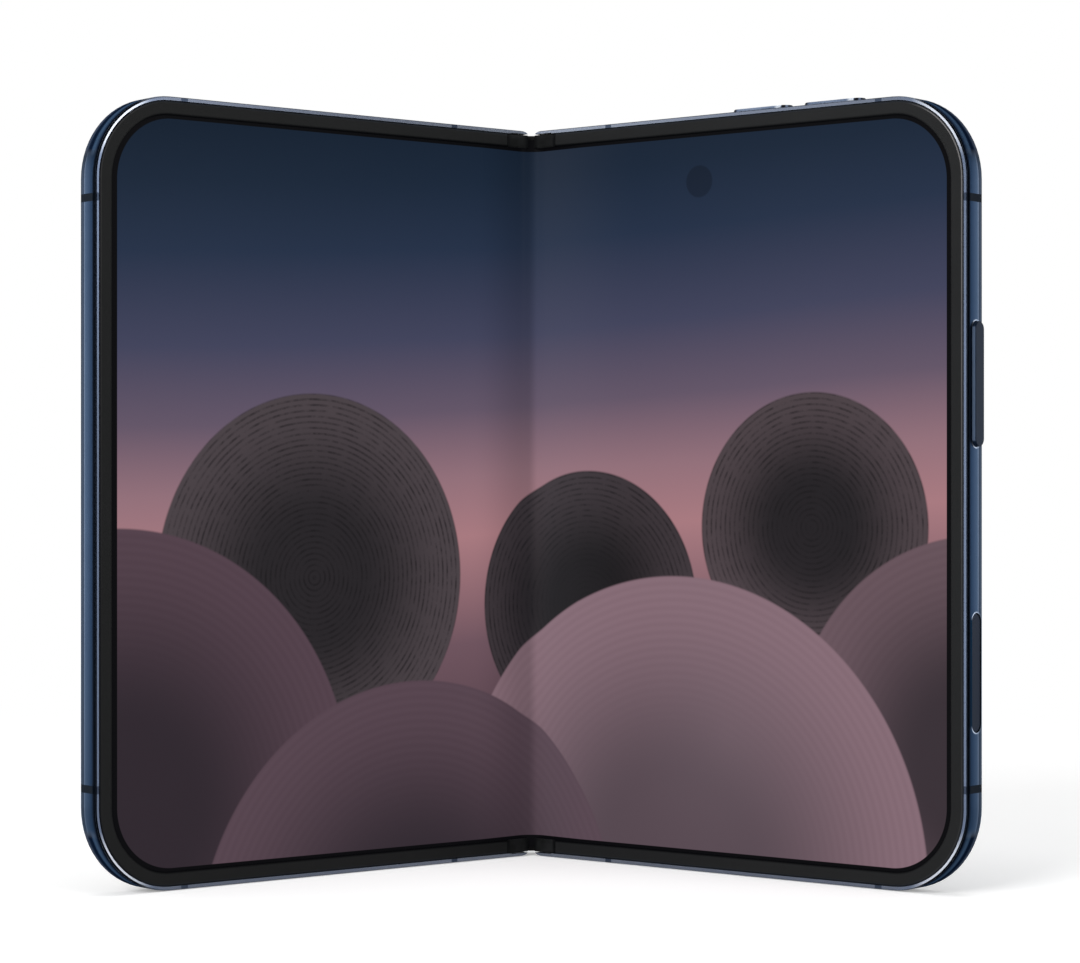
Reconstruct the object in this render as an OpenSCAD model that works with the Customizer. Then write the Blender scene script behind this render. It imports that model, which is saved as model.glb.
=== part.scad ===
// Foldable smartphone, stood on its bottom edge and part folded like a book.
// +Z runs along the hinge and the screen faces -Y.  Each half is drawn flat in its own
// frame (x outward from the hinge, y back from the front plane) and then folded.

/* [Body] */
// Height along the hinge
height = 120.6; // [117:0.1:124]
// Width of one half, from the hinge centre plane to the outer edge
half_width = 83.8; // [82:0.1:87]
// Thickness of one half
thickness = 4.8; // [4.7:0.05:5.2]
// Radius of the two outer corners of a half
corner_r = 13.1; // [12:0.1:14]
// Radius of the frame corners beside the hinge
hinge_corner_r = 2.2; // [2:0.1:2.4]
// Angle that each half is folded from flat
rest_fold = 39; // [36:1:42]

/* [Edge] */
// Width of the polished rim round the bezel
rim_w = 0.57; // [0.5:0.01:0.65]
// Size of the chamfer on the rim
rim_chamfer = 0.12; // [0.1:0.01:0.2]
// Depth of the groove behind the rim
groove_depth = 0.28; // [0.15:0.01:0.3]
// Width of the groove behind the rim
groove_w = 0.76; // [0.6:0.02:0.8]
// Radius of the back edge of the rail
back_edge_r = 0.7; // [0.6:0.05:0.8]
// Wall of the rail
rail_w = 1.6; // [1.5:0.05:1.8]
// Height of an antenna band along the rail
band_w = 1.2; // [1:0.1:1.5]
// Depth of an antenna band in the rail
band_depth = 1; // [0.8:0.05:1.1]

/* [Screen] */
// Width of the dark border, from the outer edge to the bezel's inner edge
bezel_w = 2.85; // [2.6:0.05:3.2]
// Depth of the screen surface below the front plane
screen_recess = 0.2; // [0.2:0.01:0.25]
// Thickness of the flexible panel
panel_t = 0.45; // [0.35:0.01:0.5]
// Distance of the panel's edge from the outer edge
panel_inset = 1.4; // [1.35:0.05:1.5]
// Thickness of the plate bonded behind the panel
plate_t = 0.15; // [0.1:0.01:0.2]
// Thickness of the midplate that carries the screen
midplate_t = 0.5; // [0.4:0.05:0.6]
// Distance from the hinge at which the bezel ends and its end piece begins
bezel_end = 5.3; // [5:0.1:6]

/* [Hinge] */
// Distance of each fold axis from the centre plane
axis_x = 0.6; // [0.55:0.01:0.65]
// Depth of the fold axes behind the front plane
axis_y = 0.45; // [0.42:0.01:0.48]
// Wall of the frame lip that wraps the spine
lip_wall = 0.52; // [0.45:0.01:0.55]
// Running gap between the spine and the frame lips
spine_gap = 0.13; // [0.1:0.01:0.15]
// Wall of the spine cover
cover_wall = 0.3; // [0.25:0.01:0.35]
// Distance of the spine's ends from the top and bottom edges
spine_inset = 0.6; // [0.58:0.01:0.7]
// Thickness of the frame's end walls over the spine
end_wall = 0.45; // [0.4:0.01:0.46]
// Distance of the wing plates' pivots from the hinge centre plane
wing_pivot = 10.2; // [10:0.1:11]
// Thickness of a wing plate
wing_t = 0.3; // [0.25:0.01:0.32]
// Degrees that a wing plate tilts for each degree of fold
wing_ratio = 0.11; // [0.1:0.001:0.12]

/* [Hinge gears] */
// Tooth module
gear_module = 0.1; // [0.098:0.001:0.102]
// Teeth on each pinion
pinion_teeth = 11; // [11:1:11]
// Teeth on a full circle of a rotor's sector
sector_teeth = 55; // [55:1:55]
// Side play between meshing teeth, at each flank
tooth_play = 0.012; // [0.01:0.001:0.016]
// Radius of the gear shafts
shaft_r = 0.28; // [0.24:0.01:0.3]
// Length of each rotor along the hinge
rotor_len = 3; // [2.5:0.1:3.4]
// Length of the zone where the four gears mesh
mesh_len = 2.2; // [1.8:0.1:2.6]
// Length of the zone that holds the friction discs
friction_len = 3.6; // [3.2:0.1:4]

/* [Keys] */
// Height that the keys stand proud of the rail
key_proud = 0.6; // [0.4:0.05:0.7]
// Depth of the capture key below the rail
capture_sunk = 0.12; // [0:0.01:0.15]
// Width of the keys across the rail
key_w = 2.5; // [2:0.05:2.5]
// Length of the power key
power_len = 18.8; // [16:0.1:20]
// Height of the power key's centre
power_z = 76.7; // [75:0.1:78]
// Length of the capture key
capture_len = 17.8; // [16:0.1:19]
// Height of the capture key's centre
capture_z = 33.4; // [32:0.1:35]
// Length of each volume key
volume_len = 10.8; // [10:0.1:11.5]
// Distance of the volume keys' middle from the outer edge
volume_inset = 31.9; // [30:0.1:34]
// Distance between the centres of the volume keys
volume_pitch = 13.5; // [13:0.1:14]
// Travel of the power and volume keys
key_travel = 0.3; // [0.2:0.01:0.35]

/* [Cameras] */
// Length of the camera island
island_len = 39.5; // [38:0.5:42]
// Width of the camera island
island_w = 18.5; // [18:0.5:20]
// Height of the camera island above the rear glass
island_proud = 1.5; // [1.2:0.1:2]
// Radius of a rear lens ring
lens_ring_r = 6.3; // [5.8:0.1:6.8]
// Height of a lens ring above the island
lens_ring_proud = 0.6; // [0.4:0.1:1]
// Distance of the inner camera from the hinge
inner_camera_x = 34.5; // [33:0.1:36]
// Radius of the inner camera's window
inner_camera_r = 2.5; // [2.2:0.1:2.8]

/* [Glass and port] */
// Thickness of the rear and cover glass
glass_t = 0.65; // [0.55:0.05:0.7]
// Width of the connector opening
port_w = 8.64; // [8.6:0.01:8.7]
// Height of the connector opening
port_h = 2.86; // [2.82:0.01:2.88]
// Distance of the connector from the middle of its half
port_offset = 4.1; // [2:0.1:6]

/* [Hidden] */
$fn = 48;
eps = 0.01;
fit = 0.05;                 // gap between pieces that are glued or dropped in place
run = 0.1;                  // gap round pieces that slide
key_fit = 0.08;             // gap round a key in its slot

// Depths behind the front plane
panel_back = screen_recess + panel_t;
mid_front = panel_back + plate_t;
mid_back = mid_front + midplate_t;
glass_front = thickness - glass_t;
bay_front = mid_back + fit;
bay_back = glass_front - fit;
rail_mid = (rim_chamfer + groove_w + thickness - back_edge_r) / 2 + 0.265;
bezel_seat = 0.6;           // depth of the ledge that the bezel stands on
bezel_lip = screen_recess - 0.03;
bezel_foot = panel_inset - 0.1;

// Spine and lips, as radii about the fold axes
cavity_r = thickness - axis_y - lip_wall;
spine_r = cavity_r - spine_gap;
cover_in_r = spine_r - cover_wall;
base_r = cover_in_r - fit;
spine_front = 1.15;         // depth of the cover's front edges
base_front = 1.5;           // depth of the hinge bases' front faces
pocket_x = wing_pivot + 0.3;
pocket_wall = 0.8;
pocket_floor = glass_front - 0.95;
floor_t = 0.55;
seam = 0.05;                // half the slit between the two lips when flat
cap_margin = 0.1;           // distance of the hinge caps from the rounded corners
front_end = 0.7;            // distance of the rim's hinge end from the centre plane
glass_start = cavity_r - 0.8;

// Wing plates
wing_front = panel_back + fit;
wing_y = wing_front + wing_t / 2;
wing_end = 1;
wing_rest = rest_fold * wing_ratio;
pin_end = 0.95;
pin_gap = 0.05;

// Gear train: two sectors, two drive pinions and two idlers in one row
pinion_r = gear_module * pinion_teeth / 2;
sector_r = gear_module * sector_teeth / 2;
addendum = 0.7 * gear_module;
dedendum = 1.05 * gear_module;
pressure = 25;
drive_x = 3 * pinion_r;
idler_x = pinion_r;
gear_y = axis_y + sqrt(pow(sector_r - pinion_r, 2) - pow(drive_x - axis_x, 2));
mesh_angle = atan2(gear_y - axis_y, drive_x - axis_x);
pitch_deg = 360 / pinion_teeth;
sector_pitch_deg = 360 / sector_teeth;
function after(phase) = ((180 - phase) % pitch_deg + pitch_deg) % pitch_deg + pitch_deg / 2;
phase_drive_r = mesh_angle;
phase_idler_r = after(phase_drive_r);
phase_idler_l = after(phase_idler_r);
phase_drive_l = after(phase_idler_l);
left_lag = ((180 - mesh_angle - phase_drive_l) % pitch_deg + pitch_deg) % pitch_deg;
left_shift = left_lag * pinion_r / sector_r;

// Rotors
rotor_in = sector_r - addendum;
rotor_out = cover_in_r - 0.07;
rotor_tip_deg = 158;
rotor_root_deg = 50;
leaf_back = pocket_floor - fit;
leaf_t = 0.55;
leaf_front = leaf_back - leaf_t;
leaf_end = wing_pivot - 0.9;
leaf_start = 2.45;
screw_r = 0.4;
screw_head_r = 0.7;
screw_head_t = 0.28;

// Zones of a hinge module along the hinge, from its lower end
thin_wall = 0.8;
thick_wall = 1;
z_disc_r = thin_wall;
z_wall_r = z_disc_r + friction_len;
z_rotor_r = z_wall_r + thick_wall;
z_mid_r = z_rotor_r + rotor_len;
z_mesh = z_mid_r + thin_wall;
z_mid_l = z_mesh + mesh_len;
z_rotor_l = z_mid_l + thin_wall;
z_wall_l = z_rotor_l + rotor_len;
z_disc_l = z_wall_l + thick_wall;
module_len = z_disc_l + friction_len + thin_wall;
module_z = [13, height - 13 - module_len];
disc_r = 0.64;
disc_t = 0.5;
disc_count = 4;
bearing_r = shaft_r + 0.03;
plate_x = 1.6;              // half width of the front plate of a hinge base
plate_back = 1.7;

// Insides of the halves
bay_gap = 2.7;              // clearance from the pocket wall to the first piece
rim_gap = 3.2;              // clearance from the rail to the pieces at the outer edge
end_gap = 5;                // clearance from the rail to the pieces at the top
piece_gap = 1.5;            // clearance between neighbouring pieces
bay_left = pocket_x + pocket_wall + bay_gap;
bay_right = half_width - rail_w - rim_gap;
bay_high = height - rail_w - end_gap;
upper_z = height - 25.6;    // lower edge of the upper board
lower_z = 33;               // lower edge of the side board
strip_w = 20.5;
strip_x = bay_right - strip_w;
battery_end = strip_x - piece_gap;
board_t = 0.6;
board_back = bay_front + 0.1 + board_t;
can_back = 3.6;
coil_x = (bay_left + battery_end) / 2;
coil_z = (lower_z + upper_z) / 2 - 2;
coil_r = (battery_end - bay_left) / 2 - piece_gap;
band_z = [16, height - 16];
band_x = [16.35, half_width - 15.6];
island_x = half_width - 24.1;
island_z = height - 13.9;
island_foot = 0.6;
lens_x = [island_x - 5.2, island_x + 10.5];
flash_x = island_x - 15;
inner_camera_z = height - 10.5;
volume_x = half_width - volume_inset;
port_x = half_width / 2 + port_offset;
lower_split = port_x + 11;
motor_len = 13;
camera_block = 11;
inner_camera_block = 6.4;
speaker_x = 30;             // first hole of the left half's lower speaker
earpiece_x = 58;            // first hole of the earpiece
left_battery_z = 24;
port_depth = 7.3;
coil_t = 0.3;
cover_camera_x = 44;
cover_camera_z = height - 9;
barrel_r = 4.1;
magnet_len = 8;
magnet_z = [(power_z - power_len / 2 + capture_z + capture_len / 2 - magnet_len) / 2,
            power_z + power_len / 2 + piece_gap];
key_y = rail_mid;
key_crown = 0.1;
flange_gap = 0.05;
flange_t = 0.45;
flange_w = 2.5;
flex_y = 2.3;
port_y = (mid_back + glass_front) / 2;

// The panel's bend at rest: flat on the wing plates, then one arc over the spine
bend_half = rest_fold + wing_rest;
function turned(p, c, a) = let (d = p - c)
    c + [d.x * cos(a) - d.y * sin(a), d.x * sin(a) + d.y * cos(a)];
function folded(p) = turned(p, [axis_x, axis_y], -rest_fold);
function winged(p) = turned(p, [wing_pivot, wing_y], -wing_rest);
bend_root = folded(winged([wing_pivot, screen_recess]));
bend_r = (bend_root.x / cos(bend_half) - wing_pivot) / (tan(bend_half) - bend_half * PI / 180);
bend_y = bend_root.y + (bend_root.x * sin(bend_half) - bend_r) / cos(bend_half);

// The row's origin is under the middle of the folded phone
far_front = folded([half_width, 0]).y;
back_edge = max(axis_y + spine_r, folded([seam, thickness]).y);
depth_shift = -(far_front + back_edge) / 2;

// ---- placing ------------------------------------------------------------------

module spine_place() translate([0, depth_shift, 0]) children();

module half(side) spine_place() mirror([side < 0 ? 1 : 0, 0, 0])
    translate([axis_x, axis_y, 0]) rotate([0, 0, -rest_fold])
    translate([-axis_x, -axis_y, 0]) children();

module wing(side) half(side) translate([wing_pivot, wing_y, 0]) rotate([0, 0, -wing_rest])
    translate([-wing_pivot, -wing_y, 0]) children();

// ---- shapes -------------------------------------------------------------------

// A flat outline in x and z, given depth from y0 to y1
module slab(y0, y1) translate([0, y1, 0]) rotate([90, 0, 0]) linear_extrude(y1 - y0) children();

// A flat outline in x and y, given height from z0 to z1
module tall(z0, z1) translate([0, 0, z0]) linear_extrude(z1 - z0) children();

// A round bar along the depth
module post(x, z, r, y0, y1) translate([x, y0, z]) rotate([-90, 0, 0]) cylinder(r = r, h = y1 - y0);

module rounded(x0, x1, z0, z1, r) {
    translate([x0 + r, z0]) square([x1 - x0 - 2 * r, z1 - z0]);
    translate([x0, z0 + r]) square([x1 - x0, z1 - z0 - 2 * r]);
    for (x = [x0 + r, x1 - r], z = [z0 + r, z1 - r]) translate([x, z]) circle(r);
}

module capsule(length, width) {
    square([length - width, width], center = true);
    for (s = [-1, 1]) translate([s * (length - width) / 2, 0]) circle(width / 2);
}

// Outline of a half, set in by a margin and starting at x0, with its outer corners round
module outline(margin, x0, hinge_r = 0) {
    r = corner_r - margin;
    difference() {
        union() {
            translate([x0, margin + r]) square([half_width - margin - x0, height - 2 * (margin + r)]);
            translate([x0, margin]) square([half_width - margin - r - x0, height - 2 * margin]);
            for (z = [margin + r, height - margin - r]) translate([half_width - margin - r, z]) circle(r);
        }
        if (hinge_r > 0) for (s = [0, 1]) translate([0, s * height]) mirror([0, s])
            difference() {
                translate([x0 - 1, margin - 1]) square([hinge_r + 1, hinge_r + 1]);
                translate([x0 + hinge_r, margin + hinge_r]) circle(hinge_r);
            }
    }
}

// Sweeps an edge section (outward, depth) round the three outer sides of a half
module sweep(x0) {
    r = corner_r;
    for (s = [0, 1]) translate([0, 0, s * height]) mirror([0, 0, s]) {
        translate([x0, 0, 0]) rotate([0, 90, 0]) linear_extrude(half_width - r - x0) children();
        translate([half_width - r, 0, r]) rotate([-90, 0, 0])
            rotate_extrude(angle = 90) translate([r, 0]) children();
    }
    translate([half_width, 0, r]) linear_extrude(height - 2 * r) children();
}

// Section of the rail: chamfered rim, groove, flat side and rounded back edge
module rail_section() {
    groove_end = rim_chamfer + 0.06 + groove_w;
    polygon(concat(
        [[-rim_w, 0], [-rim_chamfer, 0], [0, rim_chamfer], [0, rim_chamfer + 0.06],
         [-groove_depth, rim_chamfer + 0.2], [-groove_depth, groove_end - 0.17],
         [-0.02, groove_end], [0, groove_end + 0.28]],
        [for (a = [0:15:75]) [back_edge_r * (cos(a) - 1), thickness - back_edge_r + back_edge_r * sin(a)]],
        [[-back_edge_r - 0.2, thickness], [-back_edge_r - 0.2, glass_front - fit],
         [-rail_w, glass_front - fit], [-rail_w, mid_front], [-bezel_foot, mid_front],
         [-bezel_foot, bezel_seat], [-rim_w, bezel_seat]]));
}

// Boxes where plastic antenna bands break the rail
module band_cuts() {
    reach = 1;
    for (z = band_z) translate([half_width - band_depth, -reach, z - band_w / 2])
        cube([band_depth + reach, thickness + 2 * reach, band_w]);
    for (x = band_x, s = [0, 1]) translate([x - band_w / 2, -reach, s * height])
        mirror([0, 0, s]) translate([0, 0, -reach]) cube([band_w, thickness + 2 * reach, band_depth + reach]);
}

// Section of the spine at a given radius about both fold axes
module spine_section(r, front) intersection() {
    union() {
        for (s = [-1, 1]) translate([s * axis_x, axis_y]) circle(r, $fn = 96);
        translate([-axis_x, axis_y]) square([2 * axis_x, r]);
    }
    translate([-8, front]) square([16, 8]);
}

// ---- frames -------------------------------------------------------------------

module frame_blank() intersection() {
    union() {
        sweep(front_end) rail_section();
        slab(mid_front, mid_back) outline(rail_w - eps, pocket_x);
        // lip round the spine, with the floor and wall of the hinge pocket
        tall(0.72, height - 0.72) polygon([
            [front_end, 0], [pocket_x + pocket_wall, 0], [pocket_x + pocket_wall, pocket_floor + floor_t],
            [glass_start + 0.4, pocket_floor + floor_t], [glass_start + 0.4, bay_back],
            [glass_start, bay_back], [glass_start, thickness], [seam + 0.3, thickness],
            [seam, thickness - 0.3], [seam, axis_y + 0.45], [0.3, axis_y + 0.15]]);
    }
    slab(-1, thickness + 1) outline(0, seam, hinge_corner_r);
}

// Children stand where the hinge screws go, pointing back into the frame
module leaf_screws(zone) for (z0 = module_z, x = [leaf_end - 3.6, leaf_end - 1.1])
    translate([x, leaf_front - screw_head_t, z0 + zone + rotor_len / 2]) rotate([-90, 0, 0]) children();

module pocket_cuts(zone) {
    panel_z = panel_inset - fit;
    // space swept by the spine
    translate([axis_x, axis_y, end_wall]) cylinder(r = cavity_r, h = height - 2 * end_wall, $fn = 96);
    // pocket for the wing plate, hinge leaves and bending panel
    translate([-1, -1, panel_z]) cube([pocket_x + 1, pocket_floor + 1, height - 2 * panel_z]);
    // seat of the panel and its plate
    translate([-1, -1, panel_z]) cube([pocket_x + pocket_wall + 2, mid_front + 1, height - 2 * panel_z]);
    // seat of the bezel and hinge caps
    for (s = [0, 1]) translate([0, 0, s * height]) mirror([0, 0, s])
        translate([-1, -1, rim_w]) cube([pocket_x + pocket_wall + 2, bezel_seat + 1, bezel_foot - rim_w + fit]);
    // bores for the wing plate's pins
    translate([wing_pivot, wing_y, pin_end - fit])
        cylinder(r = wing_t / 2 + pin_gap, h = height - 2 * (pin_end - fit));
    leaf_screws(zone) cylinder(r = screw_r + 0.03, h = screw_head_t + leaf_t + fit + floor_t + 0.1);
    // slot for the flexible circuit
    translate([pocket_x - 1, flex_y - 0.15, height / 2 - 6.2]) cube([pocket_wall + 2, 0.4, 12.4]);
}

module side_slot(z, length) translate([half_width - rail_w - 1, key_y, z]) rotate([0, 90, 0])
    linear_extrude(rail_w + 3) capsule(length + 2 * key_fit, key_w + 2 * key_fit);

module top_slot(x) translate([x, key_y, height - rail_w - 1])
    linear_extrude(rail_w + 3) capsule(volume_len + 2 * key_fit, key_w + 2 * key_fit);

module edge_holes(xs, r) for (x = xs) translate([x, key_y, -1]) cylinder(r = r, h = rail_w + 2);

module right_frame() color([0.27, 0.34, 0.45]) half(1) difference() {
    frame_blank();
    pocket_cuts(z_rotor_r);
    band_cuts();
    side_slot(power_z, power_len);
    side_slot(capture_z, capture_len);
    for (s = [-1, 1]) top_slot(volume_x + s * volume_pitch / 2);
    translate([port_x, port_y, -1]) linear_extrude(rail_w + 2) capsule(port_w, port_h);
    edge_holes([for (i = [0:3]) lower_split + 1.6 + 2.2 * i], 0.55);
    edge_holes([port_x - 10], 0.4);
    post(inner_camera_x, inner_camera_z, inner_camera_r + 0.2, mid_front - 1, mid_back + 1);
}

module left_frame() color([0.27, 0.34, 0.45]) half(-1) difference() {
    frame_blank();
    pocket_cuts(z_rotor_l);
    band_cuts();
    edge_holes([for (i = [0:3]) speaker_x + 2.4 * i], 0.55);
    translate([0, 0, height]) mirror([0, 0, 1]) edge_holes([for (i = [0:3]) earpiece_x + 2.4 * i], 0.55);
}

module antenna_bands(side) color([0.2, 0.24, 0.32]) half(side) intersection() {
    sweep(front_end) intersection() {
        rail_section();
        translate([-band_depth, -1]) square([band_depth + 1, thickness + 2]);
    }
    band_cuts();
}

module right_antenna_bands() antenna_bands(1);
module left_antenna_bands() antenna_bands(-1);

// ---- bezels -------------------------------------------------------------------

module bezel_section() polygon([
    [-rim_w - fit, bezel_seat - 0.03], [-rim_w - fit, 0.28], [-rim_w - 0.09, 0.17], [-rim_w - 0.17, 0.08],
    [-rim_w - 0.3, 0.02], [-rim_w - 0.5, 0],
    [-bezel_w + 0.25, 0], [-bezel_w + 0.06, 0.03], [-bezel_w, 0.09], [-bezel_w, bezel_lip],
    [-bezel_foot, bezel_lip], [-bezel_foot, bezel_seat - 0.03]]);

module bezel(side) color([0.13, 0.13, 0.14]) half(side) sweep(bezel_end) bezel_section();

module hinge_caps(side) color([0.11, 0.11, 0.12]) half(side) intersection() {
    slab(-1, bezel_seat) outline(cap_margin, seam, hinge_corner_r);
    for (s = [0, 1]) translate([0, 0, s * height]) mirror([0, 0, s])
        translate([front_end + 0.1, 0, 0]) rotate([0, 90, 0])
            linear_extrude(bezel_end - front_end - 0.2) bezel_section();
}

module right_bezel() bezel(1);
module left_bezel() bezel(-1);
module right_hinge_caps() hinge_caps(1);
module left_hinge_caps() hinge_caps(-1);

// ---- screen -------------------------------------------------------------------

module display_panel(side) color([0.1, 0.12, 0.16]) half(side)
    slab(screen_recess, panel_back) outline(panel_inset, wing_pivot);

module display_plate(side) color([0.6, 0.6, 0.62]) half(side)
    slab(panel_back, mid_front) outline(panel_inset + 0.3, pocket_x);

module right_display_panel() display_panel(1);
module left_display_panel() display_panel(-1);
module right_display_plate() display_plate(1);
module left_display_plate() display_plate(-1);

// The middle of the panel: two flat runs on the wing plates and one arc between them
module display_bend() {
    turns = [for (k = [0:30]) bend_half * (k / 15 - 1)];
    root = bend_root;
    back = panel_t * [sin(bend_half), cos(bend_half)];
    color([0.1, 0.12, 0.16]) spine_place() tall(panel_inset, height - panel_inset) polygon(concat(
        [[-root.x, root.y]], [for (a = turns) [bend_r * sin(a), bend_y + bend_r * cos(a)]], [root],
        [root + back], [for (a = turns) [(bend_r + panel_t) * sin(-a), bend_y + (bend_r + panel_t) * cos(a)]],
        [[-root.x - back.x, root.y + back.y]]));
}

module wing_plate(side) color([0.5, 0.5, 0.53]) wing(side) {
    tall(panel_inset + 0.25, height - panel_inset - 0.25)
        translate([wing_end, wing_front]) square([wing_pivot - wing_end, wing_t]);
    translate([wing_pivot, wing_y, pin_end]) cylinder(r = wing_t / 2, h = height - 2 * pin_end);
}

module right_wing_plate() wing_plate(1);
module left_wing_plate() wing_plate(-1);

// ---- gears --------------------------------------------------------------------

function inv(a) = tan(a) - a * PI / 180;
function tooth_half(rho, r, n, play) = 90 / n - play / r * 180 / PI
    + (inv(pressure) - inv(acos(min(1, r * cos(pressure) / rho)))) * 180 / PI;
function polar(rho, a) = [rho * cos(a), rho * sin(a)];

// Outline of a spur gear with a tooth centred on the given angle
module gear(r, n, radii, play, phase) polygon([for (i = [0:n - 1]) let (a = phase + i * 360 / n)
    each concat(
        [for (rho = radii) polar(rho, a - tooth_half(rho, r, n, play))],
        [for (k = [len(radii) - 1:-1:0]) polar(radii[k], a + tooth_half(radii[k], r, n, play))])]);

pinion_radii = [pinion_r - dedendum, pinion_r * cos(pressure), pinion_r - addendum / 2,
    pinion_r, pinion_r + addendum / 2, pinion_r + addendum];
sector_radii = [sector_r - addendum - 0.01, sector_r - addendum / 2, sector_r,
    sector_r + addendum / 2, sector_r + dedendum];

module pinion(phase) gear(pinion_r, pinion_teeth, pinion_radii, tooth_play, phase);

// A shaft with its toothed lengths; zones are pairs of heights inside a hinge module
module gear_shaft(x, phase, z0, z1, zones) for (m = module_z) spine_place() translate([x, gear_y, m]) {
    translate([0, 0, z0]) cylinder(r = shaft_r, h = z1 - z0);
    for (zone = zones) tall(zone[0] + tooth_end, zone[1] - tooth_end) pinion(phase);
}
tooth_end = 0.08;

module right_drive_gears() color([0.75, 0.74, 0.7]) gear_shaft(drive_x, phase_drive_r,
    z_disc_r - 0.5, z_mid_l - 0.1 + 0.6, [[z_rotor_r, z_mid_r], [z_mesh, z_mid_l]]);

module left_drive_gears() color([0.75, 0.74, 0.7]) gear_shaft(-drive_x, phase_drive_l,
    z_mesh - 0.5, z_disc_l + friction_len + 0.5, [[z_mesh, z_mid_l], [z_rotor_l, z_wall_l]]);

module right_idler_gears() color([0.72, 0.71, 0.67])
    gear_shaft(idler_x, phase_idler_r, z_mesh - 0.5, z_mid_l + 0.5, [[z_mesh, z_mid_l]]);

module left_idler_gears() color([0.72, 0.71, 0.67])
    gear_shaft(-idler_x, phase_idler_l, z_mesh - 0.5, z_mid_l + 0.5, [[z_mesh, z_mid_l]]);

// A toothed sector about the fold axis, with the leaf that screws to the frame
module rotors(side, zone, shift) color([0.7, 0.7, 0.72]) half(side) for (m = module_z) difference() {
    tall(m + zone + tooth_end, m + zone + rotor_len - tooth_end) {
        translate([axis_x, axis_y]) difference() {
            intersection() {
                circle(rotor_out, $fn = 96);
                polygon([[0, 0], polar(9, rotor_root_deg), polar(9, 90), polar(9, rotor_tip_deg)]);
            }
            circle(rotor_in, $fn = 96);
            gear(sector_r, sector_teeth, sector_radii, -tooth_play, mesh_angle + rest_fold + shift);
        }
        translate([leaf_start, leaf_front]) square([leaf_end - leaf_start, leaf_t]);
    }
    leaf_screws(zone) cylinder(r = screw_r + fit, h = 3);
}

module right_rotors() rotors(1, z_rotor_r, 0);
module left_rotors() rotors(-1, z_rotor_l, left_shift);

module hinge_screws(side, zone) color([0.45, 0.45, 0.47]) half(side) leaf_screws(zone) difference() {
    union() {
        cylinder(r = screw_head_r, h = screw_head_t - 0.01);
        cylinder(r = screw_r, h = screw_head_t + leaf_t + fit + floor_t);
    }
    translate([0, 0, -1]) cylinder(r = 0.32, h = 1.15, $fn = 6);
}

module right_hinge_screws() hinge_screws(1, z_rotor_r);
module left_hinge_screws() hinge_screws(-1, z_rotor_l);

// ---- spine --------------------------------------------------------------------

module spine_cover() color([0.25, 0.32, 0.43]) spine_place() difference() {
    tall(spine_inset, height - spine_inset) difference() {
        spine_section(spine_r, spine_front);
        spine_section(cover_in_r, spine_front - 1);
    }
    // slots that the hinge leaves swing through
    for (m = module_z, s = [-1, 1]) {
        z0 = m + (s > 0 ? z_rotor_r : z_rotor_l) - 0.1;
        translate([0, 0, z0]) linear_extrude(rotor_len + 0.2) mirror([s < 0 ? 1 : 0, 0])
            translate([2, spine_front - 1]) square([4, leaf_back + 0.35 - spine_front + 1]);
    }
}

module spine_end_caps() color([0.08, 0.08, 0.09]) spine_place()
    for (z = [spine_inset, height - spine_inset - 1]) tall(z, z + 1) spine_section(base_r, spine_front);

module hinge_bases() color([0.4, 0.4, 0.42]) for (m = module_z) spine_place() translate([0, 0, m]) difference() {
    tall(0, module_len) spine_section(base_r, base_front);
    // bays in which the sectors swing, leaving the front plate
    for (z = [z_rotor_r, z_rotor_l]) difference() {
        translate([-6, 0, z]) cube([12, 6, rotor_len]);
        translate([-plate_x, 0, z - 1]) cube([2 * plate_x, plate_back, rotor_len + 2]);
    }
    // bay of the four meshing gears
    translate([-drive_x - 0.75, plate_back, z_mesh]) cube([2 * drive_x + 1.5, 1.4, mesh_len]);
    // bays of the friction discs
    translate([drive_x - disc_r - fit, plate_back, z_disc_r]) cube([2 * disc_r + 2 * fit, 1.4, friction_len]);
    translate([-drive_x - disc_r - fit, plate_back, z_disc_l]) cube([2 * disc_r + 2 * fit, 1.4, friction_len]);
    // bearings
    translate([drive_x, gear_y, z_disc_r - 0.6]) cylinder(r = bearing_r, h = z_mid_l + 0.6 - z_disc_r + 0.6);
    translate([-drive_x, gear_y, z_mesh - 0.6]) cylinder(r = bearing_r, h = z_disc_l + friction_len - z_mesh + 1.2);
    for (x = [-idler_x, idler_x]) translate([x, gear_y, z_mesh - 0.6]) cylinder(r = bearing_r, h = mesh_len + 1.2);
}

module friction_discs(side, zone) color([0.55, 0.5, 0.4]) for (m = module_z, i = [0:disc_count - 1])
    spine_place() translate([side * drive_x, gear_y, m + zone + 0.3 + i * (disc_t + 0.33)]) difference() {
        cylinder(r = disc_r, h = disc_t);
        translate([0, 0, -1]) cylinder(r = bearing_r, h = disc_t + 2);
    }

module right_friction_discs() friction_discs(1, z_disc_r);
module left_friction_discs() friction_discs(-1, z_disc_l);

// A ribbon laid inside the cover, and a tail on each pocket floor
module hinge_flex() color([0.6, 0.42, 0.2]) spine_place() tall(height / 2 - 6, height / 2 + 6) difference() {
    spine_section(cover_in_r - fit, base_front);
    spine_section(cover_in_r - fit - 0.12, 0);
}

module flex_tail(side) color([0.6, 0.42, 0.2]) half(side) {
    translate([leaf_end - 4, pocket_floor - fit - 0.12, height / 2 - 6])
        cube([pocket_x - leaf_end + 3.9, 0.12, 12]);
    translate([pocket_x - 0.4, flex_y, height / 2 - 6]) cube([pocket_wall + 2.4, 0.12, 12]);
}

module right_flex_tail() flex_tail(1);
module left_flex_tail() flex_tail(-1);

// ---- keys ---------------------------------------------------------------------

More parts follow.
